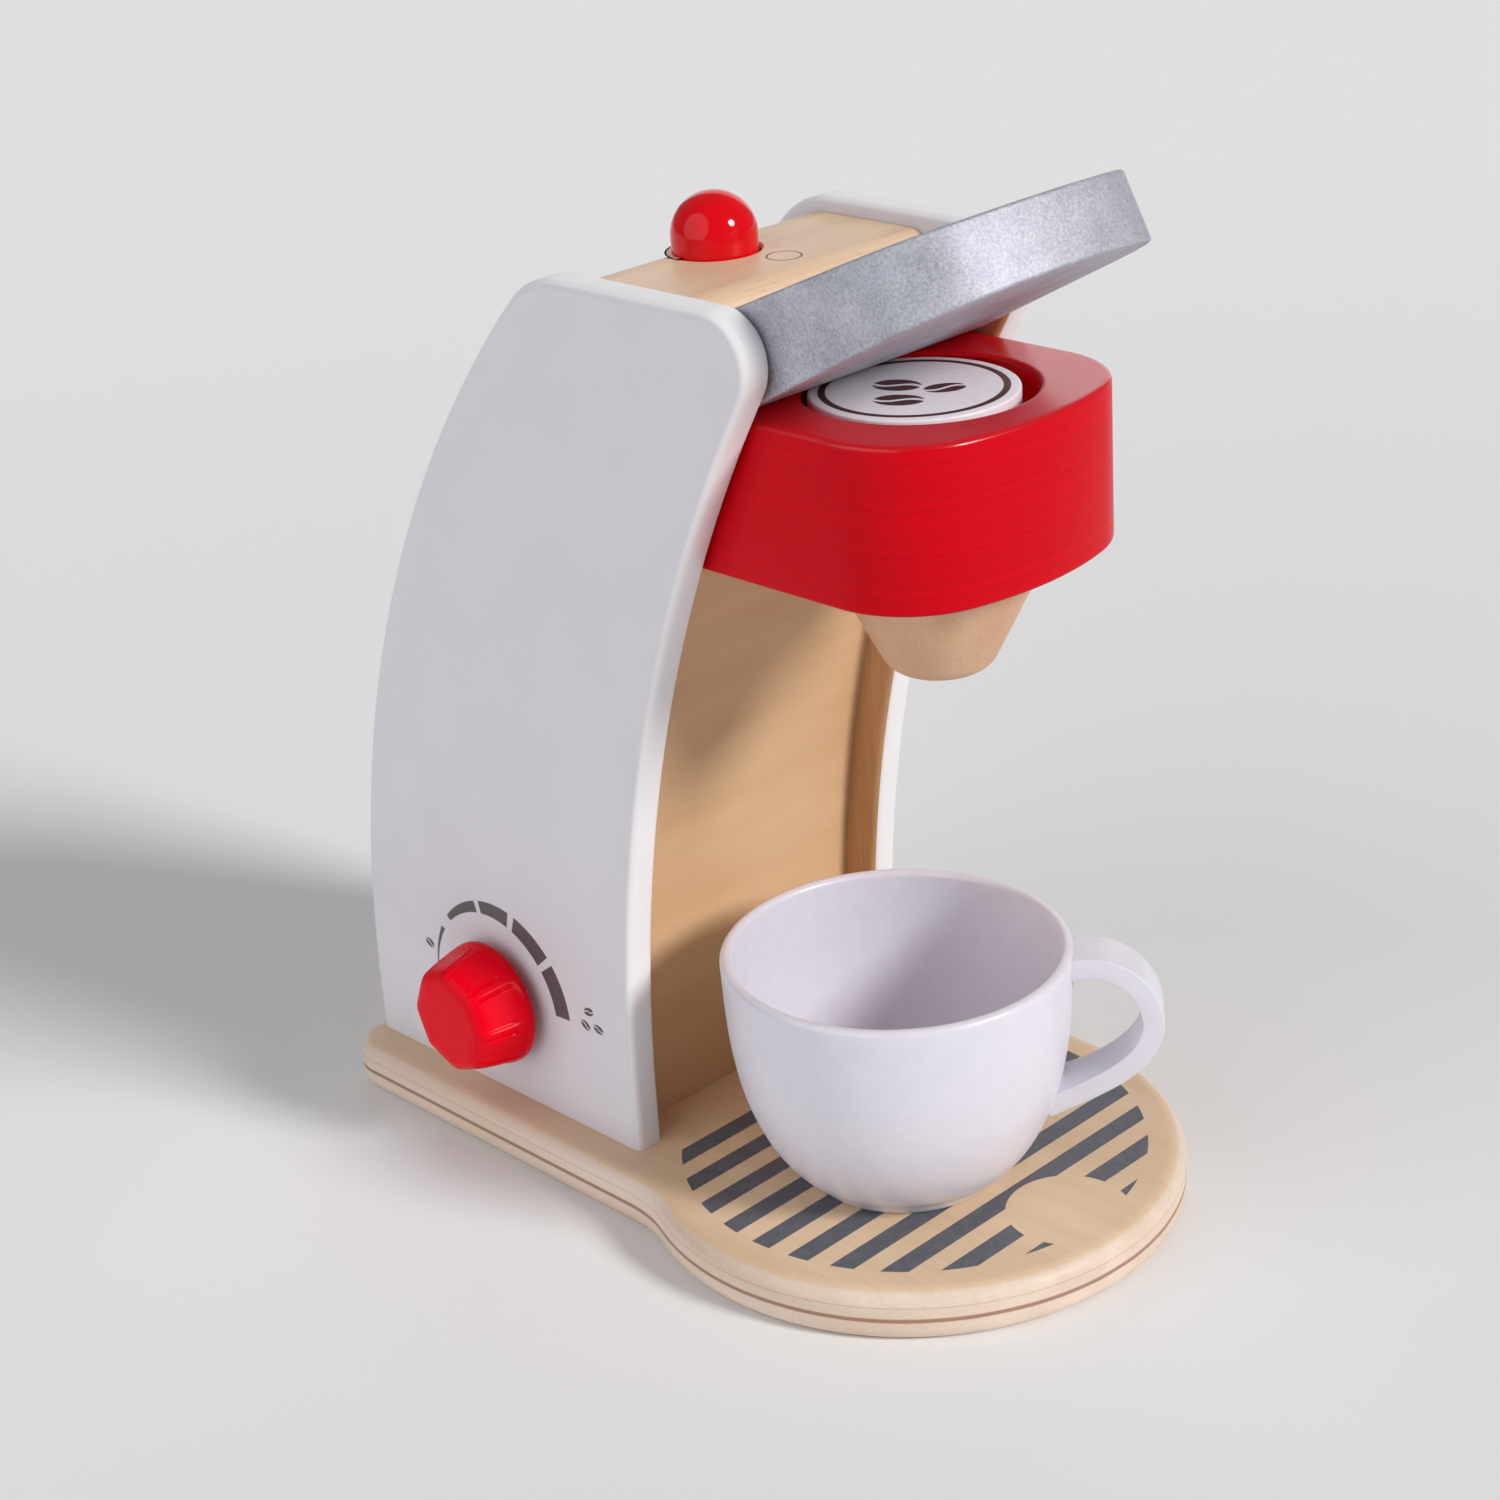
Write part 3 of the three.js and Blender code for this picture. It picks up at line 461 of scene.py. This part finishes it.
# Inside faces: bare wood, which is painted shade up under the lid. Elsewhere: the lacquer with its
# painted edge highlight, and the printed scale.
coat(
    paint, Base_Color=inside.mix(shown, bare_wood_and_shade), Roughness=0.42 + mist * 0.12,
    Normal=place.noise((0.35, 0.35, 0.35), 2.0).relief(0.02, 0.2),
)
for side, face in (("left", -PANEL_INSIDE - PANEL_THICKNESS), ("right", PANEL_INSIDE)):
    bm = plate(
        (PANEL_FRONT, 0),
        [
            (PANEL_FRONT, CURVE_START), (*FRONT_ARC[:2], front_turn),
            (front_y, front_z, -90 - front_turn), (rear_y, BODY_TOP),
            (rear_y, rear_z, rear_turn - 90), (*REAR_ARC[:2], -rear_turn), (PANEL_REAR, 0),
            (PANEL_FRONT, 0),
        ],
        PANEL_THICKNESS, 1.8, 5,
    )
    ring_flats(bm)
    if side == "left":
        spindle_hole = [(4.9, 0), (4.5, 0), (4.3, 0.2), (4.3, 6.8), (4.5, 7), (4.9, 7)]
        bore(bm, DIAL_Y, DIAL_Z, spindle_hole, 40)
    bmesh.ops.transform(bm, matrix=Matrix.Translation((face, 0, 0)) @ UPRIGHT, verts=bm.verts[:])
    foot = bmesh.ops.bisect_plane(
        bm, geom=bm.verts[:] + bm.edges[:] + bm.faces[:], dist=0.0001,
        plane_co=(0, 0, BASE_TOP), plane_no=(0, 0, 1), clear_inner=True,
    )
    cut = [part for part in foot["geom_cut"] if isinstance(part, bmesh.types.BMEdge)]
    bmesh.ops.contextual_create(bm, geom=cut)
    panel = piece(bm, f"side_panel_{side}_painted", paint)
    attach(panel, "housing")
    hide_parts(f"side_panel_{side}")


# Front and back boards: thin plywood bent to the panels' curves and glued between them. The front
# one stops under the head, the back one runs up to the block.
HEAD_UNDERSIDE = 141
HEAD_TOP = 172


def arc_angle(arc, radius, top):
    """The turn, in degrees, at which an arc about a bowed edge's centre passes a height."""
    return math.degrees(math.asin((top - arc[1]) / radius))


bent_birch, place = new_finish("bent birch plywood")
broad, fine = grain(place, "x")
smoky = place.noise((0.02, 0.06, 0.03), 2.0)
figure = (broad * 0.35 + fine * 0.15 + smoky * 0.5).ramp(0.25, 0.75)
coat(
    bent_birch, Base_Color=figure.mix(srgb(224, 187, 147), srgb(208, 166, 124)),
    Roughness=0.5 + fine * 0.12, Specular_IOR_Level=0.25, Normal=fine.relief(0.03, 0.5),
)
for name, arc, inner, outer, top in (
    ("front_board", FRONT_ARC, 308, 316, HEAD_UNDERSIDE),
    ("back_board", REAR_ARC, 228, 233, HEAD_TOP),
):
    inner_turn, outer_turn = arc_angle(arc, inner, top), arc_angle(arc, outer, top)
    inner_top = arc[0] + inner * math.cos(math.radians(inner_turn))
    bm = plate(
        (arc[0] + inner, BASE_TOP),
        [
            (arc[0] + outer, BASE_TOP), (arc[0] + outer, CURVE_START), (*arc[:2], outer_turn),
            (inner_top, top), (*arc[:2], -inner_turn), (arc[0] + inner, BASE_TOP),
        ],
        2 * PANEL_INSIDE, 0, 1,
    )
    matrix = Matrix.Translation((-PANEL_INSIDE, 0, 0)) @ UPRIGHT
    bmesh.ops.transform(bm, matrix=matrix, verts=bm.verts[:])
    board = piece(bm, f"{name}_bent", bent_birch)
    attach(board, "housing")
    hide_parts(name)


# Top block: a beech block behind the lid, shaped to the panels' rear curve, with a bore for the
# button and a small printed ring beside it.
HINGE = (-29.489, 181.1)
BUTTON_Y = 4.870
BUTTON_STOP = 180
BLOCK_TOP = 190
block_radius = 234
front_round = 4.5
block_front = HINGE[0] + 9.2
corner_y, corner_z, corner_turn = top_corner((*REAR_ARC[:2], block_radius), 17, BLOCK_TOP, False)
foot_turn = arc_angle(REAR_ARC, block_radius, HEAD_TOP)
bm = plate(
    (block_front, HEAD_TOP),
    [
        (block_front, BLOCK_TOP - front_round),
        (block_front + front_round, BLOCK_TOP - front_round, -90), (corner_y, BLOCK_TOP),
        (corner_y, corner_z, corner_turn - 90), (*REAR_ARC[:2], foot_turn - corner_turn),
        (block_front, HEAD_TOP),
    ],
    2 * PANEL_INSIDE, 0.35, 2,
)
matrix = Matrix.Translation((-PANEL_INSIDE, 0, 0)) @ UPRIGHT
bmesh.ops.transform(bm, matrix=matrix, verts=bm.verts[:])
for level in (BLOCK_TOP, HEAD_TOP):
    flats = [
        face for face in bm.faces
        if face.calc_area() > 300 and all(abs(corner.co.z - level) < 0.01 for corner in face.verts)
    ]
    bmesh.ops.inset_region(bm, faces=flats, thickness=0.3, use_even_offset=True)
bore(
    bm, 0, BUTTON_Y,
    [
        (9.6, BLOCK_TOP), (9.2, BLOCK_TOP), (8.7, BLOCK_TOP - 0.5), (8.7, BUTTON_STOP),
        (10.3, BUTTON_STOP), (10.3, HEAD_TOP + 0.4), (10.7, HEAD_TOP), (11.1, HEAD_TOP),
    ],
    64,
)

beech, place = new_finish("clear lacquered beech")
x, y, z = place.parts()
broad, fine = grain(place, "x")
fleck = place.noise((0.22, 1.6, 1.6), 3.0, 0.5).ramp(0.62, 0.70)
figure = (broad * 0.5 + fine * 0.5).ramp(0.3, 0.7)
timber = figure.mix(srgb(233, 204, 172), srgb(219, 183, 148))
ring = (abs(hypot(x - 3.6, y + 9.8) - 3.3) - 0.24).ramp(0.08, -0.08) * z.ramp(189.7, 189.9)
marked = ring.mix((fleck * 0.35).mix(timber, srgb(176, 128, 88)), srgb(92, 74, 66))
coat(
    beech, Base_Color=marked, Roughness=0.42 + fine * 0.14, Coat_Weight=0.15,
    Coat_Roughness=0.25, Normal=fine.relief(0.03, 0.6),
)
block = piece(bm, "top_block_beech", beech)
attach(block, "housing")
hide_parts("top_block")


# Brewing head: a thick nose-shaped block in gloss red lacquer, whose routed side still shows fine
# level lines, with a round recess for the pad and a pocket for the button's spring.
def nose(half, front, rear, corner, front_radius):
    """The start and the moves of a plan with straight sides, round corners and a bowed front."""
    corner_x = half - corner
    reach = front_radius - corner
    corner_y = front + front_radius - math.sqrt(reach ** 2 - corner_x ** 2)
    lean = math.degrees(math.asin(corner_x / reach))
    return (-half, rear), [
        (-half, corner_y), (-corner_x, corner_y, 90 - lean), (0, front + front_radius, 2 * lean),
        (corner_x, corner_y, 90 - lean), (half, rear), (-half, rear),
    ]


RECESS_Y = -46
RECESS_FLOOR = 167.4
pocket_floor = 164
bm = plate(*nose(PANEL_INSIDE, -76, 21.3, 20, 66), HEAD_TOP - HEAD_UNDERSIDE, 1.1, 4)
bmesh.ops.translate(bm, vec=(0, 0, HEAD_UNDERSIDE), verts=bm.verts[:])
ring_flats(bm)
bore(
    bm, 0, RECESS_Y,
    [
        (22.8, HEAD_TOP), (22.4, HEAD_TOP), (21.9, HEAD_TOP - 0.13), (21.5, HEAD_TOP - 0.6),
        (21.5, RECESS_FLOOR + 0.3), (21.2, RECESS_FLOOR), (20.8, RECESS_FLOOR), (0, RECESS_FLOOR),
    ],
    96,
)
bore(
    bm, 0, BUTTON_Y,
    [
        (10.7, HEAD_TOP), (10.3, HEAD_TOP), (10.3, pocket_floor), (9.9, pocket_floor),
        (0, pocket_floor),
    ],
)

red_lacquer, place = new_finish("gloss red lacquer")
x, y, z = place.parts()
lines = place.noise((0.002, 0.002, 1.5), 2.0, 0.5)
orange_peel = place.noise((0.5, 0.5, 0.5), 2.0)
tone = lines.ramp(0.35, 0.65).mix(srgb(210, 0, 22), srgb(199, 0, 18))
on_side = z.ramp(171.5, 171.0)
coat(
    red_lacquer, Base_Color=tone, Roughness=0.3 + lines * 0.08, Specular_IOR_Level=0.04,
    Coat_Weight=0.9 - 0.8 * on_side, Coat_Roughness=0.2,
    Normal=(lines * on_side + orange_peel * 0.1).relief(0.07, 0.4),
)
head = piece(bm, "brew_head_lacquered", red_lacquer)
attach(head, "housing")
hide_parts("brew_head")


# Spout: a cone turned in beech on a lathe, with a rounded tip, doweled up into the head.
def turned(start, moves, x, y, steps=96):
    """A profile of radius and height turned about an upright axis."""
    bm = bmesh.new()
    draw(bm, start, moves)
    quarter = Matrix.Rotation(math.pi / 2, 3, "X")
    bmesh.ops.rotate(bm, cent=(0, 0, 0), matrix=quarter, verts=bm.verts[:])
    bmesh.ops.spin(
        bm, geom=bm.verts[:] + bm.edges[:], cent=(0, 0, 0), axis=(0, 0, 1), angle=2 * math.pi,
        steps=steps, use_merge=True, use_duplicate=False,
    )
    bmesh.ops.remove_doubles(bm, verts=bm.verts[:], dist=0.002)
    bmesh.ops.translate(bm, vec=(x, y, 0), verts=bm.verts[:])
    return bm


SPOUT_Y = -48.5
bm = turned(
    (0, 118.4),
    [(6.0, 118.4), (6.0, 123.9, 63), (20.45, 140.5), (20.6, HEAD_UNDERSIDE), (0, HEAD_UNDERSIDE)],
    0, SPOUT_Y,
)
turned_beech, place = new_finish("turned beech")
broad, fine = grain(place, "z")
tool_lines = place.noise((0.03, 0.03, 2.0), 2.0)
figure = (broad * 0.5 + fine * 0.35 + tool_lines * 0.15).ramp(0.3, 0.7)
coat(
    turned_beech, Base_Color=figure.mix(srgb(222, 182, 150), srgb(204, 158, 124)),
    Roughness=0.45 + fine * 0.12, Normal=tool_lines.relief(0.04, 0.5),
)
spout = piece(bm, "spout_turned", turned_beech)
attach(spout, "housing")
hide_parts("spout")


# Coffee pad: a white lacquered disc that lies loose in the recess, printed with a ring and beans.
PAD_Y = -44.6
bm = turned(
    (0, RECESS_FLOOR),
    [(18.7, RECESS_FLOOR), (18.7, 168.0, 90), (19.3, 171.0), (18.85, 171.05, 90), (0, 171.5)],
    0, PAD_Y,
)
pad_finish, place = new_finish("printed white lacquer")
x, y, z = place.parts()
mist = place.noise((0.6, 0.6, 0.6), 4.0)
pad_white = mist.ramp(0.3, 0.7).mix(srgb(249, 245, 250), srgb(243, 238, 245))
ring = (abs(hypot(x, y - PAD_Y) - 16.7) - 0.68).ramp(0.08, -0.08)
beans = (
    bean(x, y, -0.6, -41.0, 9.0, 6.8, -65) + bean(x, y, -7.0, -47.3, 9.2, 6.4, -58)
    + bean(x, y, 3.1, -49.2, 7.8, 5.4, -33)
)
printed = (ring + beans).least(1.0) * z.ramp(171.3, 171.42)
coat(
    pad_finish, Base_Color=printed.mix(pad_white, srgb(74, 40, 44)), Roughness=0.38 + mist * 0.1,
    Normal=mist.relief(0.02, 0.4),
)
pad = piece(bm, "coffee_pad_printed", pad_finish)
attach(pad, "housing")
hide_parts("coffee_pad")


# Lid: a nose-shaped slab in silver metallic lacquer over the head, open as in the photograph. Its
# back edge is a full round about the two steel hinge pins.
LID_THICKNESS = 17.4
LID_FRONT_THICKNESS = 12.8
LID_REACH = 58.511
LID_TURN = math.radians(-28)
half = LID_THICKNESS / 2
bm = plate(*nose(31.85, -57.85, half, 18, 56), LID_THICKNESS, 0, 1)
back = [
    edge for edge in bm.edges
    if all(abs(corner.co.y - half) < 0.01 for corner in edge.verts) and edge.calc_length() > 30
]
bmesh.ops.bevel(
    bm, geom=back, offset=8.68, offset_type="OFFSET", affect="EDGES", segments=12,
    profile=0.5, material=-1, clamp_overlap=True,
)
for corner in bm.verts:
    if corner.co.y < 0:
        corner.co.z *= 1 + (1 - LID_FRONT_THICKNESS / LID_THICKNESS) * corner.co.y / LID_REACH
bmesh.ops.translate(bm, vec=(0, 0, -half), verts=bm.verts[:])
round_off(bm, 2.3, 5)
ring_flats(bm)
open_lid = Matrix.Translation((0, *HINGE)) @ Matrix.Rotation(LID_TURN, 4, "X")
bmesh.ops.transform(bm, matrix=open_lid, verts=bm.verts[:])

silver, place = new_finish("silver metallic lacquer")
settings = {"vector_type": "TEXTURE"}
flat = place.add("ShaderNodeMapping", settings, {
    "Vector": place, "Location": (0, *HINGE), "Rotation": (LID_TURN, 0, 0),
})
x, y, z = flat.parts()
sparkle = place.noise((1.8, 1.8, 1.8), 4.0, 0.8)
clouds = place.noise((0.12, 0.12, 0.12), 3.0, 0.6)
brushed = flat.noise((0.5, 0.5, 3.0), 3.0, 0.6)
flake = (sparkle * 0.75 + clouds * 0.25).ramp(0.3, 0.7)
tone = flake.mix(srgb(160, 161, 172), srgb(214, 215, 225))
rings = 0
for x_mark in (-17, 17):
    away = hypot(x - x_mark, y + 30)
    for radius, width in ((8.5, 0.16), (5.5, 0.3)):
        rings = rings + (abs(away - radius) - width).ramp(0.08, -0.08)
    rings = rings + hypot((x - x_mark) / 2, y + 30).ramp(1.3, 1.2)
printed = rings * (z - 0.0786 * y).ramp(8.4, 8.6)
coat(
    silver, Base_Color=printed.mix(tone, srgb(60, 58, 64)), Metallic=0.75 - printed * 0.65,
    Roughness=0.55 + sparkle * 0.2,
    Normal=(sparkle + brushed * 0.4).relief(0.07, 0.6),
)
lid = piece(bm, "lid_lacquered", silver)
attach(lid, "lid")
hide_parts("lid")


# Dial knob: a turned grip in satin red lacquer. Its round skirt runs out into eight flats, with two
# fine flutes at each corner between them; it is glued on a beech spindle over a washer.
def ease(value, low, high):
    """0 below the low value and 1 above the high one, with a smooth rise between."""
    share = min(max((value - low) / (high - low), 0), 1)
    return share * share * (3 - 2 * share)


bm = bmesh.new()
rings = []
for height, radius in (
    (0, 12.6), (0, 13.2), (0.25, 13.5), (0.8, 13.62), (1.6, 13.58), (2.4, 13.45), (3.2, 13.28),
    (4.2, 13.08), (5.4, 12.84), (6.8, 12.56), (8.2, 12.26), (9.4, 11.98), (10.3, 11.72),
    (11.0, 11.42), (11.6, 11.0), (12.1, 10.4), (12.4, 9.7), (12.55, 8.9), (12.6, 8.0),
):
    flat = ease(height, 0.8, 4.5)
    cut = 0.55 * ease(height, 2.2, 4.8) * ease(12.5 - height, 0, 1.7)
    ring = []
    for step in range(240):
        away = (step * 1.5) % 45 - 22.5
        fall = min(1, 0.948 / math.cos(math.radians(away)))
        reach = radius * (1 - flat * (1 - fall)) - cut * ease(2.0 - abs(abs(away) - 17.2), 0, 1.6)
        turn = math.radians(step * 1.5)
        ring.append(bm.verts.new((reach * math.cos(turn), reach * math.sin(turn), height)))
    rings.append([bm.edges.new((ring[i - 1], ring[i])) for i in range(240)])
for low, high in zip(rings, rings[1:]):
    bmesh.ops.bridge_loops(bm, edges=low + high)
for ring in (rings[0], rings[-1]):
    bmesh.ops.contextual_create(bm, geom=ring)
ring_flats(bm, 0.4, 40)
knob_turn = Matrix.Translation((-41.95, DIAL_Y, DIAL_Z)) @ Matrix.Rotation(-math.pi / 2, 4, "Y")
bmesh.ops.transform(bm, matrix=knob_turn, verts=bm.verts[:])

knob_red, place = new_finish("satin red lacquer")
mist = place.noise((0.8, 0.8, 0.8), 4.0, 0.6)
coat(
    knob_red, Base_Color=mist.ramp(0.3, 0.7).mix(srgb(236, 0, 30), srgb(230, 0, 26)),
    Roughness=0.24 + mist * 0.06, Specular_IOR_Level=0.08, Normal=mist.relief(0.01, 0.3),
)
knob = piece(bm, "knob_fluted", knob_red, 60)
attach(knob, "dial")
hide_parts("knob")


# Push button: a turned peg with a round top in high-gloss red, which stands in the block's bore
# on a spring.
dome_foot = 193
bm = turned(
    (0, BUTTON_STOP),
    [(8.1, BUTTON_STOP), (8.3, BUTTON_STOP + 0.2), (8.3, dome_foot), (0, dome_foot, 90)],
    0, BUTTON_Y, 72,
)
button_red, place = new_finish("high-gloss red lacquer")
mist = place.noise((0.4, 0.4, 0.4), 3.0)
coat(
    button_red, Base_Color=mist.ramp(0.3, 0.7).mix(srgb(222, 0, 18), srgb(214, 0, 15)),
    Roughness=0.1 + mist * 0.05, Specular_IOR_Level=0.1, Coat_Weight=0.4, Coat_Roughness=0.04,
    Normal=mist.relief(0.02, 0.25),
)
button = piece(bm, "button_lacquered", button_red)
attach(button, "push_button")
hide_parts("button")


# Cup: moulded in semi-gloss white plastic, a round bowl with a flat strap handle that springs from
# the rim and comes back to the wall low down.
def curve(points, steps=6):
    """A smooth line of straight moves through the given points, as Vectors."""
    line = []
    for i in range(len(points) - 1):
        a, b, c, d = (
            Vector(points[min(max(k, 0), len(points) - 1)]) for k in range(i - 1, i + 3)
        )
        for k in range(steps):
            t = k / steps
            bend = (2 * a - 5 * b + 4 * c - d) + (3 * b - a - 3 * c + d) * t
            line.append(b + ((c - a) + bend * t) * t / 2)
    return line + [Vector(points[-1])]


CUP = (-7.2, -40.4, 11)
outside = curve([
    (19.3, 0.3), (19.9, 1.0), (21.2, 2.6), (23.9, 5.0), (27.0, 9.4), (29.6, 14.8), (31.8, 21.6),
    (33.3, 30), (34.0, 38.2), (34.4, 47.8),
], 4)
inside = curve([
    (32.0, 47.8), (31.6, 38.2), (30.9, 30.4), (29.4, 22.6), (27.2, 16.4), (24.4, 11.2), (20.6, 6.9),
    (15.5, 4.0), (10, 3.1),
], 4)
bm = turned(
    (0, 0.6),
    [(15.2, 0.6), (16.0, 0), (18.8, 0), *outside, (33.2, 47.8, 180), *inside, (0, 3)],
    0, 0, 96,
)
# The middle line of the strap, from inside the rim's wall to inside the wall low down
line = curve([
    (33.3, 45.9), (36.0, 46.2), (40.4, 45.8), (45.2, 43.2), (48.4, 38.6), (49.5, 33.6),
    (47.8, 28.4), (43.8, 24.0), (38.8, 20.6), (34.0, 18.2), (28.6, 16.3),
])
ways = [
    (line[min(i + 1, len(line) - 1)] - line[max(i - 1, 0)]).normalized() for i in range(len(line))
]
edges = [
    [spot + Vector((-way.y, way.x)) * reach for spot, way in zip(line, ways)]
    for reach in (2.1, -2.1)
]
outline = edges[0] + edges[1][::-1]
strap = plate(outline[-1], outline, 10, 1.8, 5)
lie = Matrix.Rotation(math.pi / 2, 4, "X") @ Matrix.Translation((0, 0, -5))
bmesh.ops.transform(strap, matrix=lie, verts=strap.verts[:])
for corner in strap.verts:
    corner.co.y *= 1 + 0.28 * (max(0, 39 - corner.co.x) / 9) ** 2
strap_mesh = bpy.data.meshes.new("strap")
strap.to_mesh(strap_mesh)
strap.free()
bm.from_mesh(strap_mesh)
bpy.data.meshes.remove(strap_mesh)
cup_place = Matrix.Translation(CUP) @ Matrix.Rotation(math.radians(-51), 4, "Z")
bmesh.ops.transform(bm, matrix=cup_place, verts=bm.verts[:])

plastic, place = new_finish("semi-gloss white plastic")
mist = place.noise((0.25, 0.25, 0.25), 3.0)
coat(
    plastic, Base_Color=mist.ramp(0.3, 0.7).mix(srgb(224, 221, 231), srgb(221, 218, 228)),
    Roughness=0.28 + mist * 0.08, Specular_IOR_Level=0.5, Normal=mist.relief(0.02, 0.2),
)
cup = piece(bm, "cup_moulded", plastic)
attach(cup, "cup")
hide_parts("cup")


# Fasteners and turned parts inside: zinc screws, steel pins and spring, and beech dowels, washer,
# spindle and collars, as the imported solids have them.
zinc, place = new_finish("zinc-plated steel")
spots = place.noise((1.4, 1.4, 1.4), 3.0)
coat(
    zinc, Base_Color=spots.ramp(0.3, 0.7).mix(srgb(196, 198, 202), srgb(178, 181, 187)),
    Metallic=1.0, Roughness=0.3 + spots * 0.2,
)
steel, place = new_finish("bright steel")
spots = place.noise((2.0, 2.0, 2.0), 3.0)
coat(
    steel, Base_Color=spots.ramp(0.3, 0.7).mix(srgb(200, 201, 205), srgb(186, 188, 193)),
    Metallic=1.0, Roughness=0.2 + spots * 0.15,
)
plain_beech, place = new_finish("plain beech")
broad, fine = grain(place, "x")
figure = (broad * 0.5 + fine * 0.5).ramp(0.3, 0.7)
coat(
    plain_beech, Base_Color=figure.mix(srgb(226, 188, 146), srgb(206, 163, 120)),
    Roughness=0.5 + fine * 0.12,
)
for finish, names in (
    (zinc, [
        "base_screw_1", "base_screw_2", "base_screw_3", "base_screw_4", "spindle_screw",
        "button_screw",
    ]),
    (steel, ["lid_pin_left", "lid_pin_right", "button_spring"]),
    (plain_beech, [
        "head_dowel_left", "head_dowel_right", "block_dowel_left", "block_dowel_right",
        "spout_dowel",
        "knob_spacer", "knob_spindle", "spindle_collar", "button_collar",
    ]),
):
    for name in names:
        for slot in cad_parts[name].material_slots:
            slot.material = finish
